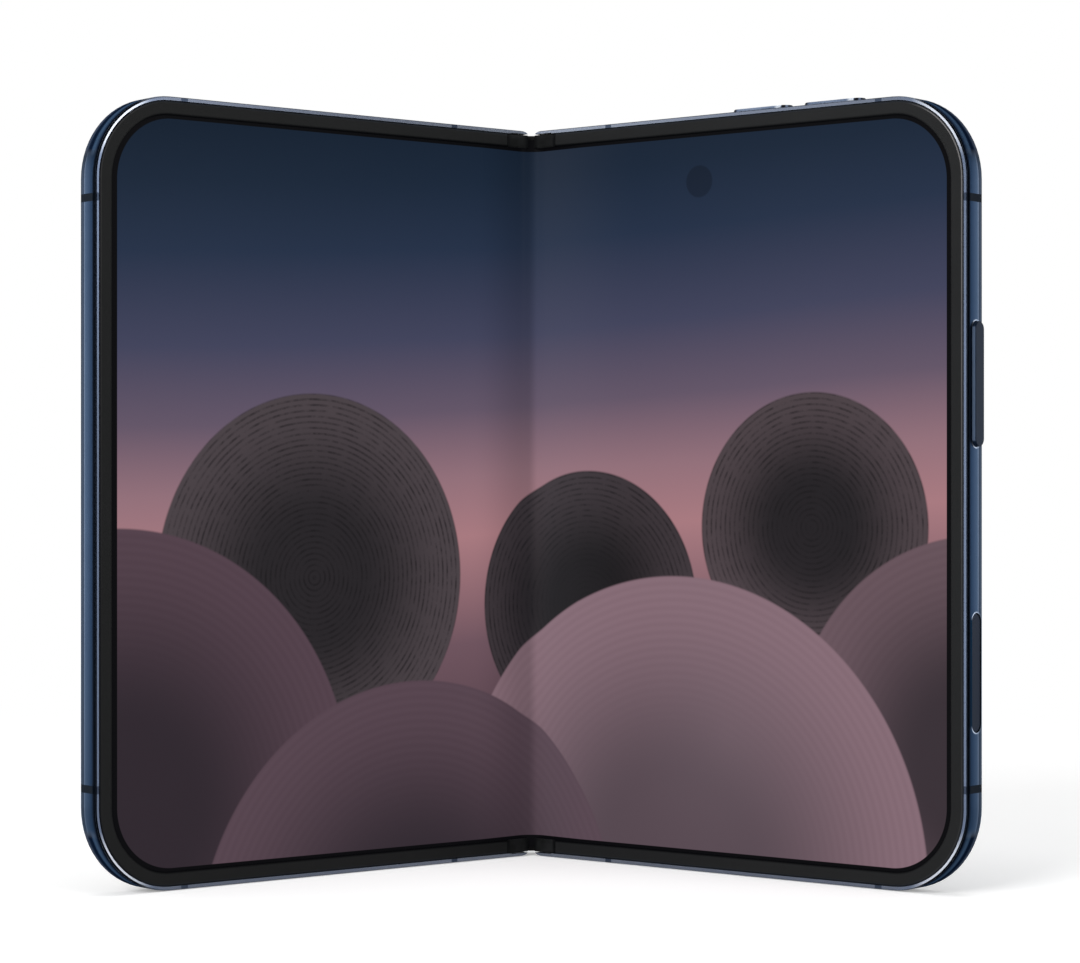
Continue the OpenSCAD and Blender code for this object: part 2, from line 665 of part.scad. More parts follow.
// A key standing on +Z: its cap through the rail and its flange behind the rail
module key(length, proud) {
    translate([0, 0, -rail_w - flange_gap]) linear_extrude(rail_w + flange_gap + proud - key_crown)
        capsule(length, key_w);
    translate([0, 0, proud - key_crown]) linear_extrude(key_crown) capsule(length - 0.2, key_w - 0.2);
    translate([0, 0, -rail_w - flange_gap - flange_t]) linear_extrude(flange_t)
        capsule(length + 0.8, flange_w);
}

module side_key(z, length, proud) color([0.3, 0.38, 0.5]) half(1)
    translate([half_width, key_y, z]) rotate([0, 90, 0]) key(length, proud);

module top_key(x) color([0.3, 0.38, 0.5]) half(1) translate([x, key_y, height]) key(volume_len, key_proud);

module power_button() side_key(power_z, power_len, key_proud);
module capture_key() side_key(capture_z, capture_len, -capture_sunk);
module volume_up_button() top_key(volume_x + volume_pitch / 2);
module volume_down_button() top_key(volume_x - volume_pitch / 2);

module key_switches() color([0.75, 0.74, 0.7]) half(1) {
    inner = rail_w + flange_gap + flange_t + key_travel + 0.05;
    for (z = [power_z, capture_z]) translate([half_width - inner - 0.8, key_y - 1, z - 2.4]) cube([0.8, 2, 4.8]);
    for (s = [-1, 1]) translate([volume_x + s * volume_pitch / 2 - 2.4, key_y - 1, height - inner - 0.8])
        cube([4.8, 2, 0.8]);
}

// ---- glass and cameras --------------------------------------------------------

module glass_blank() difference() {
    slab(glass_front, thickness - 0.02) outline(back_edge_r + 0.2 + fit, glass_start + fit);
}

module rear_glass() color([0.24, 0.3, 0.4]) half(1) difference() {
    glass_blank();
    slab(glass_front - 1, thickness + 1) translate([island_x, island_z])
        capsule(island_len - 2 * island_foot, island_w - 2 * island_foot);
}

module cover_glass() color([0.06, 0.07, 0.09]) half(-1) glass_blank();

module camera_island() color([0.22, 0.28, 0.37]) half(1) difference() {
    union() {
        slab(thickness, thickness + island_proud - 0.3) translate([island_x, island_z])
            capsule(island_len, island_w);
        slab(thickness, thickness + island_proud) translate([island_x, island_z])
            capsule(island_len - 0.6, island_w - 0.6);
        slab(glass_front + 0.05, thickness + 0.1) translate([island_x, island_z])
            capsule(island_len - 2 * island_foot - 0.1, island_w - 2 * island_foot - 0.1);
        for (x = lens_x) post(x, island_z, lens_ring_r, thickness, thickness + island_proud + lens_ring_proud);
    }
    for (x = lens_x) {
        post(x, island_z, barrel_r + fit, glass_front - 1, thickness + island_proud + 2);
        post(x, island_z, lens_ring_r - 0.7, thickness + island_proud + lens_ring_proud - 0.6, thickness + 9);
    }
    post(flash_x, island_z, 1.9, glass_front - 1, thickness + 9);
}

module rear_lens_glasses() color([0.05, 0.06, 0.08]) half(1) for (x = lens_x) post(x, island_z,
    lens_ring_r - 0.75, thickness + island_proud + lens_ring_proud - 0.55,
    thickness + island_proud + lens_ring_proud - 0.1);

module rear_camera_modules() color([0.12, 0.12, 0.13]) half(1) for (x = lens_x) {
    post(x, island_z, barrel_r, bay_front + 0.1, thickness + island_proud + lens_ring_proud - 0.7);
    slab(bay_front + 0.1, bay_back - 0.3) translate([x, island_z]) square(camera_block, center = true);
}

module flash_lens() color([0.95, 0.93, 0.85]) half(1)
    post(flash_x, island_z, 1.85, glass_front + 0.1, thickness + island_proud - 0.05);

module inner_camera() color([0.05, 0.05, 0.06]) half(1) {
    post(inner_camera_x, inner_camera_z, inner_camera_r, mid_front + 0.1, 3.2);
    slab(2.2, 3.6) translate([inner_camera_x, inner_camera_z]) square(inner_camera_block, center = true);
}

module cover_camera() color([0.05, 0.05, 0.06]) half(-1) {
    post(cover_camera_x, cover_camera_z, 1.7, 1.9, glass_front - 0.1);
    slab(1.6, 3.1) translate([cover_camera_x, cover_camera_z]) square(inner_camera_block, center = true);
}

module cover_display() color([0.03, 0.03, 0.04]) half(-1) difference() {
    slab(glass_front - 0.34, glass_front - fit) outline(rail_w + 0.4, glass_start + 1.2);
    post(cover_camera_x, cover_camera_z, 2, 0, thickness);
}

// ---- insides ------------------------------------------------------------------

module block(x0, x1, z0, z1, y0, y1, r = 1) slab(y0, y1) rounded(x0, x1, z0, z1, r);

module right_battery() color([0.16, 0.16, 0.18]) half(1)
    block(bay_left, battery_end, lower_z - 1, upper_z - piece_gap, bay_front, can_back);

module left_battery() color([0.16, 0.16, 0.18]) half(-1)
    block(bay_left, bay_right - 1, left_battery_z, upper_z - 1 - 2 * piece_gap, bay_front, can_back - 0.2);

module charging_coil() color([0.72, 0.42, 0.2]) half(1) difference() {
    post(coil_x, coil_z, coil_r, can_back + fit, can_back + fit + coil_t);
    post(coil_x, coil_z, coil_r / 2, 3, 5);
}

module main_board() color([0.08, 0.25, 0.14]) half(1) difference() {
    union() {
        block(bay_left, bay_right - 2, upper_z, bay_high, bay_front + 0.1, board_back);
        block(strip_x, bay_right, lower_z, upper_z + 5, bay_front + 0.1, board_back);
    }
    for (x = lens_x) slab(0, 9) translate([x, island_z]) square(camera_block + 0.4, center = true);
    slab(0, 9) translate([inner_camera_x, inner_camera_z]) square(inner_camera_block + 0.5, center = true);
}

module board_shields() color([0.66, 0.66, 0.68]) half(1) {
    can_front = board_back + fit;
    block(strip_x + piece_gap, bay_right - piece_gap, lower_z + 5, coil_z, can_front, can_back);
    block(strip_x + piece_gap, bay_right - piece_gap, coil_z + 2 * piece_gap, upper_z - 5, can_front, can_back);
    block(bay_left + 2, inner_camera_x - 6.5, upper_z + 2, bay_high - 2, can_front, can_back);
}

module lower_board() color([0.08, 0.25, 0.14]) half(1)
    block(bay_left + motor_len + 2 * piece_gap, lower_split - 1, port_depth + 0.7, lower_z - 3, bay_front + 0.1, board_back);

module usb_receptacle() color([0.6, 0.6, 0.62]) half(1) translate([port_x, port_y, 0]) difference() {
    translate([0, 0, 0.3]) linear_extrude(port_depth - 0.3) capsule(port_w - 0.1, port_h - 0.1);
    translate([0, 0, -1]) linear_extrude(port_depth + 0.3) capsule(port_w - 0.3, port_h - 0.3);
}

module usb_tongue() color([0.12, 0.12, 0.13]) half(1) translate([port_x - 3.35, port_y - 0.35, 1.1])
    cube([6.7, 0.7, 5.45]);

module loudspeaker() color([0.1, 0.1, 0.11]) half(1)
    block(lower_split + 1.2, bay_right - 3.5, rail_w + 4, lower_z - 5, bay_front, bay_back - 0.1);

module left_speaker() color([0.1, 0.1, 0.11]) half(-1)
    block(speaker_x - 4, speaker_x + 18, rail_w + 2.4, left_battery_z - 4, bay_front, can_back);

module earpiece_speaker() color([0.1, 0.1, 0.11]) half(-1)
    block(earpiece_x - 3, earpiece_x + 11, height - rail_w - 13, height - rail_w - 3.5, bay_front, can_back);

module vibration_motor() color([0.55, 0.55, 0.57]) half(1)
    block(bay_left, bay_left + motor_len, rail_w + 4.4, 20, bay_front, bay_back - 0.2);

module left_board() color([0.08, 0.25, 0.14]) half(-1) difference() {
    block(bay_left, earpiece_x - 3 - piece_gap, upper_z - 1, bay_high + 1, bay_front + 0.1, board_back);
    slab(0, 9) translate([cover_camera_x, cover_camera_z]) square(inner_camera_block + 0.5, center = true);
}

module magnets(side) color([0.6, 0.6, 0.62]) half(side) for (z = magnet_z)
    translate([half_width - rail_w - 0.3 - 1.4, 1.5, z]) cube([1.4, 2.2, magnet_len]);

module right_magnets() magnets(1);
module left_magnets() magnets(-1);

right_frame();
right_antenna_bands();
right_bezel();
right_hinge_caps();
right_display_panel();
right_display_plate();
rear_glass();
camera_island();
rear_camera_modules();
rear_lens_glasses();
flash_lens();
inner_camera();
right_battery();
main_board();
board_shields();
usb_receptacle();
usb_tongue();
lower_board();
loudspeaker();
vibration_motor();
charging_coil();
right_magnets();
power_button();
volume_up_button();
volume_down_button();
capture_key();
key_switches();
right_rotors();
right_hinge_screws();
right_wing_plate();
left_frame();
left_antenna_bands();
left_bezel();
left_hinge_caps();
left_display_panel();
left_display_plate();
cover_glass();
cover_display();
cover_camera();
left_battery();
left_board();
earpiece_speaker();
left_magnets();
left_rotors();
left_hinge_screws();
left_wing_plate();
spine_cover();
spine_end_caps();
hinge_bases();
right_drive_gears();
left_drive_gears();
right_idler_gears();
left_idler_gears();
right_friction_discs();
left_friction_discs();
display_bend();
hinge_flex();
right_flex_tail();
left_flex_tail();
left_speaker();
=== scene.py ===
"""Visual model of the folding phone on its CAD frame: looks, flexible screen, camera and light."""

import math

import bmesh
import bpy
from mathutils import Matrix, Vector


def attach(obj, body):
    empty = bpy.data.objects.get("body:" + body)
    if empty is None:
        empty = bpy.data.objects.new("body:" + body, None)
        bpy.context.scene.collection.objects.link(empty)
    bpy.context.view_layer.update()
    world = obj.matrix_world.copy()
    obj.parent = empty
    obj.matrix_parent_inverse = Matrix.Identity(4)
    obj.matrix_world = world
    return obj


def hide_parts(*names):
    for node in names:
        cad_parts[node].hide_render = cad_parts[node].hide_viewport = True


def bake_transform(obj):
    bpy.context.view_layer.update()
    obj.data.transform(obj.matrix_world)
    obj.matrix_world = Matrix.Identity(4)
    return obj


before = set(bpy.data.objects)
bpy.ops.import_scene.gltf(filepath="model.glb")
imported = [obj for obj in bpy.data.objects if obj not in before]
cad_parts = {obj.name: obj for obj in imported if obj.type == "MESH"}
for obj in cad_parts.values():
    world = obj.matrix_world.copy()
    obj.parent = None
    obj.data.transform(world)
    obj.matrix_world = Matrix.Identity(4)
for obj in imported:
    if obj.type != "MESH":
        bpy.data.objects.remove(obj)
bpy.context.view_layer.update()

# Sizes of the part, in millimetres and degrees. A half's flat frame has x outward from the hinge, y backward from
# the front plane of the half, and z up.
MM = 0.001
H, W = 120.6, 83.8
THICKNESS = 4.8
CORNER_R = 13.1
REST_FOLD = 39
WING_RATIO = 0.11
WING_PIVOT = (10.2, 0.85)
AXIS = (0.6, 0.45)
SHIFT = 24.0414
FOLD = math.radians(REST_FOLD)
WING_TILT = math.radians(REST_FOLD * WING_RATIO)
COS, SIN = math.cos(FOLD), math.sin(FOLD)

SCREEN_FRONT, SCREEN_THICK, SCREEN_INSET = 0.2, 0.45, 1.4
CAMERA_DISC = (34.5, 110.1, 2.55)
KEY_SLOTS = ((76.7, 18.8), (33.4, 17.8))
KEY_W = 2.5
KEY_DEPTH = 2.755
VOLUME_LEN = 10.8
VOLUME_UP, VOLUME_DOWN = 58.65, 45.15
LENS_XS, LENS_Y, LENS_Z, LENS_R = (54.5, 70.2), 6.6, H - 13.9, 5.6
COIL_CENTRE = (36, 3.8, 62)
HALVES = ((1, "right"), (-1, "left"))


def lin(r, g, b, a=1.0):
    """A colour given as 0-255 display values, as Blender's linear colour."""
    f = lambda v: v / 255 / 12.92 if v / 255 <= 0.04045 else ((v / 255 + 0.055) / 1.055) ** 2.4
    return (f(r), f(g), f(b), a)


def turned(p, c, a):
    """The point p turned about c by the angle a."""
    x, y = p[0] - c[0], p[1] - c[1]
    return (c[0] + x * math.cos(a) - y * math.sin(a), c[1] + x * math.sin(a) + y * math.cos(a))


def half_point(x, y, z):
    """A point in the flat frame of the right half, folded as at rest, in metres."""
    px, py = turned((x, y), AXIS, -FOLD)
    return (px * MM, (py + SHIFT) * MM, z * MM)


# ---- material helpers ------------------------------------------------------------


class Mat:
    """A small builder for node materials."""

    INPUTS = dict(color="Base Color", metal="Metallic", rough="Roughness", coat="Coat Weight",
                  spec="Specular IOR Level", tint="Specular Tint", glow="Emission Color",
                  glow_strength="Emission Strength")

    def __init__(self, name):
        self.m = bpy.data.materials.new(name)
        self.m.use_nodes = True
        self.t = self.m.node_tree
        self.b = self.t.nodes["Principled BSDF"]

    def n(self, kind, **props):
        node = self.t.nodes.new(kind)
        for k, v in props.items():
            setattr(node, k, v)
        return node

    def link(self, a, b):
        self.t.links.new(a, b)

    def put(self, socket, value):
        if isinstance(value, bpy.types.NodeSocket):
            self.link(value, socket)
        else:
            socket.default_value = value

    def set(self, **values):
        for k, v in values.items():
            self.put(self.b.inputs[self.INPUTS[k]], v)

    # arithmetic

    def math(self, op, a, b=0.0):
        node = self.n("ShaderNodeMath", operation=op)
        self.put(node.inputs[0], a)
        self.put(node.inputs[1], b)
        return node.outputs[0]

    def add(self, a, b):
        return self.math("ADD", a, b)

    def sub(self, a, b):
        return self.math("SUBTRACT", a, b)

    def mul(self, a, b):
        return self.math("MULTIPLY", a, b)

    def div(self, a, b):
        return self.math("DIVIDE", a, b)

    def larger(self, a, b):
        return self.math("MAXIMUM", a, b)

    def smaller(self, a, b):
        return self.math("MINIMUM", a, b)

    def absolute(self, a):
        return self.math("ABSOLUTE", a)

    def hypot(self, a, b):
        return self.math("SQRT", self.add(self.mul(a, a), self.mul(b, b)))

    def wave(self, v, length):
        return self.math("SINE", self.mul(v, 2 * math.pi / length))

    def mapped(self, v, lo, hi, a=0.0, b=1.0, kind="LINEAR"):
        node = self.n("ShaderNodeMapRange", interpolation_type=kind)
        for s, x in zip(node.inputs, (v, lo, hi, a, b)):
            self.put(s, x)
        return node.outputs[0]

    def smooth(self, v, lo, hi, a=0.0, b=1.0):
        return self.mapped(v, lo, hi, a, b, "SMOOTHSTEP")

    def mix(self, f, a, b, mode="MIX"):
        node = self.n("ShaderNodeMix", data_type="RGBA", blend_type=mode)
        self.put(node.inputs["Factor"], f)
        self.put(node.inputs[6], a)
        self.put(node.inputs[7], b)
        return node.outputs[2]

    def ramp(self, factor, stops):
        node = self.n("ShaderNodeValToRGB")
        elements = node.color_ramp.elements
        while len(elements) < len(stops):
            elements.new(0.5)
        for element, (position, color) in zip(elements, stops):
            element.position = position
            element.color = lin(*color)
        self.link(factor, node.inputs[0])
        return node.outputs[0]

    # places

    def object_pos(self, scale=(1, 1, 1)):
        coords = self.n("ShaderNodeTexCoord")
        mapping = self.n("ShaderNodeMapping")
        mapping.inputs["Scale"].default_value = scale
        self.link(coords.outputs["Object"], mapping.inputs[0])
        return mapping.outputs[0]

    def uv(self):
        split = self.n("ShaderNodeSeparateXYZ")
        self.link(self.n("ShaderNodeUVMap", uv_map="UVMap").outputs[0], split.inputs[0])
        return split.outputs[0], split.outputs[1]

    def along(self, normal, offset):
        """Distance along a direction in the object's own frame, in millimetres."""
        coords = self.n("ShaderNodeTexCoord")
        dot = self.n("ShaderNodeVectorMath", operation="DOT_PRODUCT")
        self.link(coords.outputs["Object"], dot.inputs[0])
        dot.inputs[1].default_value = [v * 1000 for v in normal]
        return self.add(dot.outputs["Value"], offset)

    def height(self):
        """Height above the bottom edge, in millimetres, at rest."""
        return self.along((0, 0, 1), 0.0)

    def distance(self, point):
        """Distance from a point in the object's own frame, in metres."""
        node = self.n("ShaderNodeVectorMath", operation="DISTANCE")
        self.link(self.object_pos(), node.inputs[0])
        node.inputs[1].default_value = point
        return node.outputs["Value"]

    def facing_up(self):
        """Upward part of the surface normal, in the piece's own coordinates."""
        coords = self.n("ShaderNodeTexCoord")
        split = self.n("ShaderNodeSeparateXYZ")
        self.link(coords.outputs["Normal"], split.inputs[0])
        return split.outputs["Z"]

    def past_corner(self, u, v, r):
        """How far a point is past the start of the round corner, outward and up or down."""
        return self.sub(self.absolute(u), W - r), self.sub(self.absolute(self.sub(v, H / 2)), H / 2 - r)

    def inset(self, u, v, r):
        """Distance inward from a rounded outline of a half that is W wide from the hinge and H high."""
        qx, qy = self.past_corner(u, v, r)
        d = self.hypot(self.larger(qx, 0.0), self.larger(qy, 0.0))
        d = self.add(d, self.smaller(self.larger(qx, qy), 0.0))
        return self.sub(r, d)

    # patterns and relief

    def noise(self, vec, scale, detail=4.0, rough=0.5):
        node = self.n("ShaderNodeTexNoise")
        self.link(vec, node.inputs["Vector"])
        node.inputs["Scale"].default_value = scale
        node.inputs["Detail"].default_value = detail
        node.inputs["Roughness"].default_value = rough
        return node.outputs["Fac"]

    def cells(self, scale, channel):
        """A random value for each cell of a cell pattern."""
        node = self.n("ShaderNodeTexVoronoi")
        self.link(self.object_pos(), node.inputs["Vector"])
        node.inputs["Scale"].default_value = scale
        split = self.n("ShaderNodeSeparateColor")
        self.link(node.outputs["Color"], split.inputs[0])
        return split.outputs[channel]

    def bump(self, height, strength, distance, flat=None):
        """Fine relief; where `flat` is 1 the facet's own normal is used, so that narrow flats stay even."""
        node = self.n("ShaderNodeBump")
        if flat is not None:
            facing = self.n("ShaderNodeNewGeometry")
            pick = self.n("ShaderNodeMix", data_type="VECTOR")
            self.link(flat, pick.inputs[0])
            self.link(facing.outputs["Normal"], pick.inputs[4])
            self.link(facing.outputs["True Normal"], pick.inputs[5])
            self.link(pick.outputs[1], node.inputs["Normal"])
        node.inputs["Strength"].default_value = strength
        node.inputs["Distance"].default_value = distance
        self.link(height, node.inputs["Height"])
        self.link(node.outputs[0], self.b.inputs["Normal"])


def depth_normal(side):
    """Direction and offset that give the depth behind a half's front plane, in millimetres."""
    return (side * SIN, COS, 0), AXIS[1] - SIN * AXIS[0] - COS * (AXIS[1] + SHIFT)


def out_normal(side):
    """Direction and offset that give the distance outward from the hinge, in millimetres."""
    return (side * COS, -SIN, 0), AXIS[0] - COS * AXIS[0] + SIN * (AXIS[1] + SHIFT)


# ---- materials of the case -----------------------------------------------------------

# Painted reflections across the rail, from its front plane (0) to its back (1): on the straight sides and at the
# round corners
RAIL_REFLECTION_STOPS = [(0.19, (29, 38, 55)), (0.3, (41, 50, 67)), (0.45, (55, 65, 83)), (0.62, (66, 78, 96)),
              (0.655, (86, 97, 113)), (0.69, (104, 111, 128)), (0.715, (40, 44, 54)), (0.78, (60, 64, 72)),
              (0.92, (72, 74, 80)), (1.0, (40, 50, 66))]
CORNER_REFLECTION_STOPS = [(0.19, (24, 36, 56)), (0.36, (54, 75, 99)), (0.46, (42, 60, 84)), (0.51, (8, 20, 38)),
                (0.65, (7, 18, 36)), (0.72, (30, 41, 58)), (0.78, (60, 69, 86)), (0.92, (54, 60, 72)),
                (1.0, (40, 50, 66))]


def painted_key_slot_light(m, body, depth, high):
    """Painted highlights in arcs where the chamfers of the key slots turn, and painted shade in the slot in front of
    each key.
    """
    for centre, length in KEY_SLOTS:
        along = m.absolute(m.sub(high, centre))
        across = m.sub(depth, KEY_DEPTH)
        d = m.hypot(across, m.larger(m.sub(along, length / 2 - KEY_W / 2), 0.0))
        ring = m.mul(m.mapped(d, 1.32, 1.37), m.mapped(d, 1.46, 1.58, 1, 0))
        ends = m.mapped(along, length / 2 - 1.0, length / 2 - 0.1)
        # painted shade in the slot beside the key
        slot_shade = m.mul(m.mapped(d, 1.28, 1.32), m.mapped(d, 1.6, 2.4, 1, 0))
        slot_shade = m.mul(slot_shade, m.mapped(across, -1.1, -0.9, 0.85, 0.0))
        body = m.mix(m.mul(slot_shade, m.mapped(ends, 0, 0.6, 1, 0)), body, lin(4, 7, 14))
        # painted highlight on the ring, brighter towards the front
        front = m.mapped(across, -1.0, 0.9, 1.0, 0.1)
        body = m.mix(m.mul(m.mul(ring, ends), front), body, lin(196, 206, 222))
    return body


def frame_metal(name, side, plastic_band=False):
    """Anodised rail: a rim with a high polish and painted reflections, painted shade in the groove behind it, and a
    side painted with reflections that lighten to a painted highlight towards the back edge.
    """
    m = Mat(name)
    depth = m.along(*depth_normal(side))
    out, high = m.along(*out_normal(side)), m.height()
    haze = m.noise(m.object_pos(), 60, 3)
    grain = m.noise(m.object_pos(), 700, 2)
    # at the round corners the side is painted with a dark reflection between two lighter painted lines
    px, py = m.past_corner(out, high, CORNER_R)
    corner = m.mul(m.smooth(px, 0.5, 4.0), m.smooth(py, 3.0, 4.6))
    back = m.div(depth, THICKNESS)
    body = m.mix(corner, m.ramp(back, RAIL_REFLECTION_STOPS), m.ramp(back, CORNER_REFLECTION_STOPS))
    body = m.mix(m.mapped(haze, 0.3, 0.7, 0, 0.12), body, lin(30, 40, 58))
    # the rim's colour is painted reflection: lighter towards the hinge on the top and bottom edges, and a bright
    # painted highlight where it turns the round corners
    turning = m.smooth(m.mul(m.larger(px, 0.0), m.larger(py, 0.0)), 36, 80)
    upright = m.smooth(out, W - 14, W - 7)
    level = m.mix(grain, lin(111, 119, 135), lin(116, 124, 141))
    level = m.mix(m.mapped(out, 4, 40, 0.6, 0.0), level, lin(150, 158, 172))
    rim_tone_and_painted_shine = m.mix(upright, level, m.mix(grain, lin(109, 122, 146), lin(114, 127, 152)))
    rim_tone_and_painted_shine = m.mix(turning, rim_tone_and_painted_shine, lin(228, 235, 248))
    rim = m.mapped(depth, 0.12, 0.16, 1.0, 0.0)
    # painted shade: the groove is painted dark, and along the upright edges a thin line of the same painted shade
    # runs along the rim's outer edge
    edge = (0.1, 0.2) if side > 0 else (0.19, 0.23)
    around = m.sub(m.inset(out, high, CORNER_R), m.mapped(turning, 0, 1, *edge))
    lip = m.mul(upright, m.mapped(around, 0, 0.09, 1, 0))
    groove = m.mul(m.mapped(depth, 0.13, 0.17), m.mapped(depth, 0.8, 0.98, 1.0, 0.0))
    groove = m.larger(groove, m.mul(lip, rim))
    # groove and corners are unlit; the straight top and bottom edges are matt, and stay blue from above
    unlit = m.larger(groove, m.mul(corner, m.sub(1.0, rim)))
    matt = m.mapped(m.absolute(m.facing_up()), 0.97, 0.995, 0, 0.92)
    metallic = m.mul(m.sub(1.0, unlit), m.sub(1.0, matt))
    spec = m.mapped(m.larger(unlit, matt), 0, 1, 0.3, 0.0)
    if plastic_band:
        body, rim_tone_and_painted_shine, spec = lin(17, 24, 33), lin(64, 74, 92), 0.02
        metallic = m.sub(rim, m.mul(rim, groove))
    elif side > 0:
        body = painted_key_slot_light(m, body, depth, high)
    m.set(color=m.mix(groove, m.mix(rim, body, rim_tone_and_painted_shine), lin(4, 7, 13)), metal=metallic, spec=spec,
          rough=m.add(m.mul(grain, 0.05), m.mapped(rim, 0, 1, 0.34, 0.24)),
          tint=m.mix(upright, (0.82, 0.9, 1.0, 1), (0.5, 0.7, 1.0, 1)))
    m.bump(haze, 0.1, 0.000004, rim)
    return m.m


def key_material(name, shade, centre=None):
    """Satin key: dark face and a side wall painted lighter, as lit; a key on the top edge (with a centre) has
    painted shade at both ends and a painted glint near one end.
    """
    m = Mat(name)
    depth, out = m.along(*depth_normal(1)), m.along(*out_normal(1))
    grain = m.noise(m.object_pos(), 260, 3)
    face = m.mix(grain, lin(*shade), lin(*(v * 1.15 for v in shade)))
    if centre is None:
        wall = m.mul(m.mapped(depth, 1.53, 1.62, 1, 0), m.mapped(out, W + 0.45, W + 0.6, 1, 0))
        # the side wall is painted lighter, as lit
        wall_grain_and_painted_light = m.mix(grain, lin(74, 88, 109), lin(84, 98, 120))
        face_metal, spec = 0.3, 0.06
    else:
        wall = m.mapped(depth, 1.9, 2.4, 1, 0)
        streak = m.noise(m.object_pos((30, 30, 900)), 6, 3)
        # brushed streaks on a side wall painted light, as lit
        wall_grain_and_painted_light = m.mix(m.mapped(streak, 0.3, 0.7), lin(96, 112, 138), lin(142, 156, 180))
        near = m.sub(out, centre - VOLUME_LEN / 2)
        far = m.sub(centre + VOLUME_LEN / 2, out)
        # a painted glint near the right end
        glint = m.mul(m.mapped(far, 1.2, 1.35), m.mapped(far, 2.0, 2.6, 1, 0))
        wall_grain_and_painted_light = m.mix(glint, wall_grain_and_painted_light, lin(214, 222, 234))
        # painted shade: a dark notch and tip at the right end, and the left end dark
        notch = m.mul(m.mapped(far, 0.45, 0.6), m.mapped(far, 1.1, 1.25, 1, 0))
        dark = m.larger(notch, m.mapped(far, 0.15, 0.3, 1, 0))
        wall_grain_and_painted_light = m.mix(m.larger(m.mapped(near, 0.8, 1.3, 1, 0), dark), wall_grain_and_painted_light, lin(7, 11, 22))
        face_metal, spec = 0.06, 0.03
    m.set(color=m.mix(wall, face, wall_grain_and_painted_light), metal=m.mapped(wall, 0, 1, face_metal, 0.0), spec=spec,
          rough=m.add(m.mul(grain, 0.08), 0.36))
    m.bump(grain, 0.1, 0.00001)
    return m.m


def metal(name, color, rough=0.3, grain_scale=(1, 1, 40), var=0.06, metallic=1.0, bump=0.06):
    m = Mat(name)
    grain = m.noise(m.object_pos(grain_scale), 700, 4)
    cloud = m.noise(m.object_pos(), 90, 3)
    lighter = tuple(min(1, c * 1.18) for c in color[:3]) + (1,)
    m.set(color=m.mix(cloud, color, lighter), metal=metallic, rough=m.add(m.mul(grain, 2 * var), rough - var))
    m.bump(grain, bump, 0.00002)
    return m.m


def plastic(name, color, rough=0.5, scale=1500, bump=0.15, spec=0.4):
    m = Mat(name)
    grain = m.noise(m.object_pos(), scale, 3)
    wear = m.noise(m.object_pos(), 80, 4)
    lighter = tuple(min(1, c * 1.25 + 0.001) for c in color[:3]) + (1,)
    m.set(color=m.mix(wear, color, lighter), rough=m.add(m.mul(grain, 0.15), rough - 0.07), spec=spec)
    m.bump(grain, bump, 0.00003)
    return m.m


def bezel_material(name, side):
    """Soft black border strip with painted shade where it rolls off at both of its edges, and a painted highlight
    along its outer edge.
    """
    m = Mat(name)
    out, high = m.along(*out_normal(side)), m.height()
    # painted light: the right half's edge, face and highlight tones are lighter than the left's, as it gets more
    # light
    if side > 0:
        seam_shade_by_side, face_tones_by_side_light, glint_range = (36, 39, 43), ((23, 24, 25), (29, 30, 31)), (0.06, 0.8)
    else:
        seam_shade_by_side, face_tones_by_side_light, glint_range = (18, 19, 23), ((19, 20, 20), (24, 25, 26)), (0.0, 0.1)
    around = m.inset(out, high, CORNER_R)
    upright = m.smooth(out, W - 11, W - 4)
    inner = m.sub(around, m.mul(upright, 0.3))
    # painted shade where the strip rolls off at its outer and inner edges
    roll_shade = m.mul(m.smooth(around, 0.72, 1.05), m.smooth(inner, 2.35, 2.8, 1, 0))
    seam_shade = m.mix(upright, lin(38, 41, 46), lin(*seam_shade_by_side))
    grain = m.noise(m.object_pos(), 2500, 3)
    wear = m.noise(m.object_pos(), 80, 4)
    face = m.mix(wear, lin(*face_tones_by_side_light[0]), lin(*face_tones_by_side_light[1]))
    color = m.mix(roll_shade, m.mix(m.mapped(around, 1.0, 1.4), seam_shade, lin(5, 6, 8)), face)
    # a thin painted highlight along the outer edge, which grows towards the top
    shoulder_glint = m.mul(m.mapped(around, 0.82, 0.9), m.mapped(around, 0.98, 1.08, 1, 0))
    shoulder_glint = m.mul(shoulder_glint, m.mapped(high, 40, 112, *glint_range))
    color = m.mix(m.mul(shoulder_glint, upright), color, lin(120, 118, 118))
    m.set(color=color, rough=m.add(m.mul(grain, 0.12), 0.44), spec=m.mapped(roll_shade, 0, 1, 0.02, 0.13))
    m.bump(grain, 0.1, 0.00003)
    return m.m


def cap_material(name, side):
    """Matt end piece of the border strip, with painted shade at the hinge and at its joint with the strip."""
    m = Mat(name)
    out = m.along(*out_normal(side))
    grain = m.noise(m.object_pos(), 1600, 3)
    mottle = m.noise(m.object_pos(), 500, 4)
    face = m.mix(m.mapped(mottle, 0.35, 0.65), lin(17, 18, 18), lin(30, 31, 32))
    # painted shade outside the lit middle of the cap
    lit = m.mul(m.smooth(out, 0.9, 1.9), m.smooth(out, 4.55, 4.9, 1, 0))
    m.set(color=m.mix(lit, lin(8, 9, 11), face), rough=m.add(m.mul(grain, 0.15), 0.43), spec=0.1)
    m.bump(grain, 0.3, 0.00003)
    return m.m


# ---- screen ------------------------------------------------------------------------

SKY_STOPS = [(0.0, (40, 34, 42)), (0.3, (110, 84, 94)), (0.45, (168, 122, 128)), (0.53, (146, 112, 122)),
             (0.62, (100, 86, 104)), (0.72, (66, 68, 92)), (0.84, (38, 50, 72)), (0.93, (27, 40, 58)),
             (1.0, (20, 33, 49))]
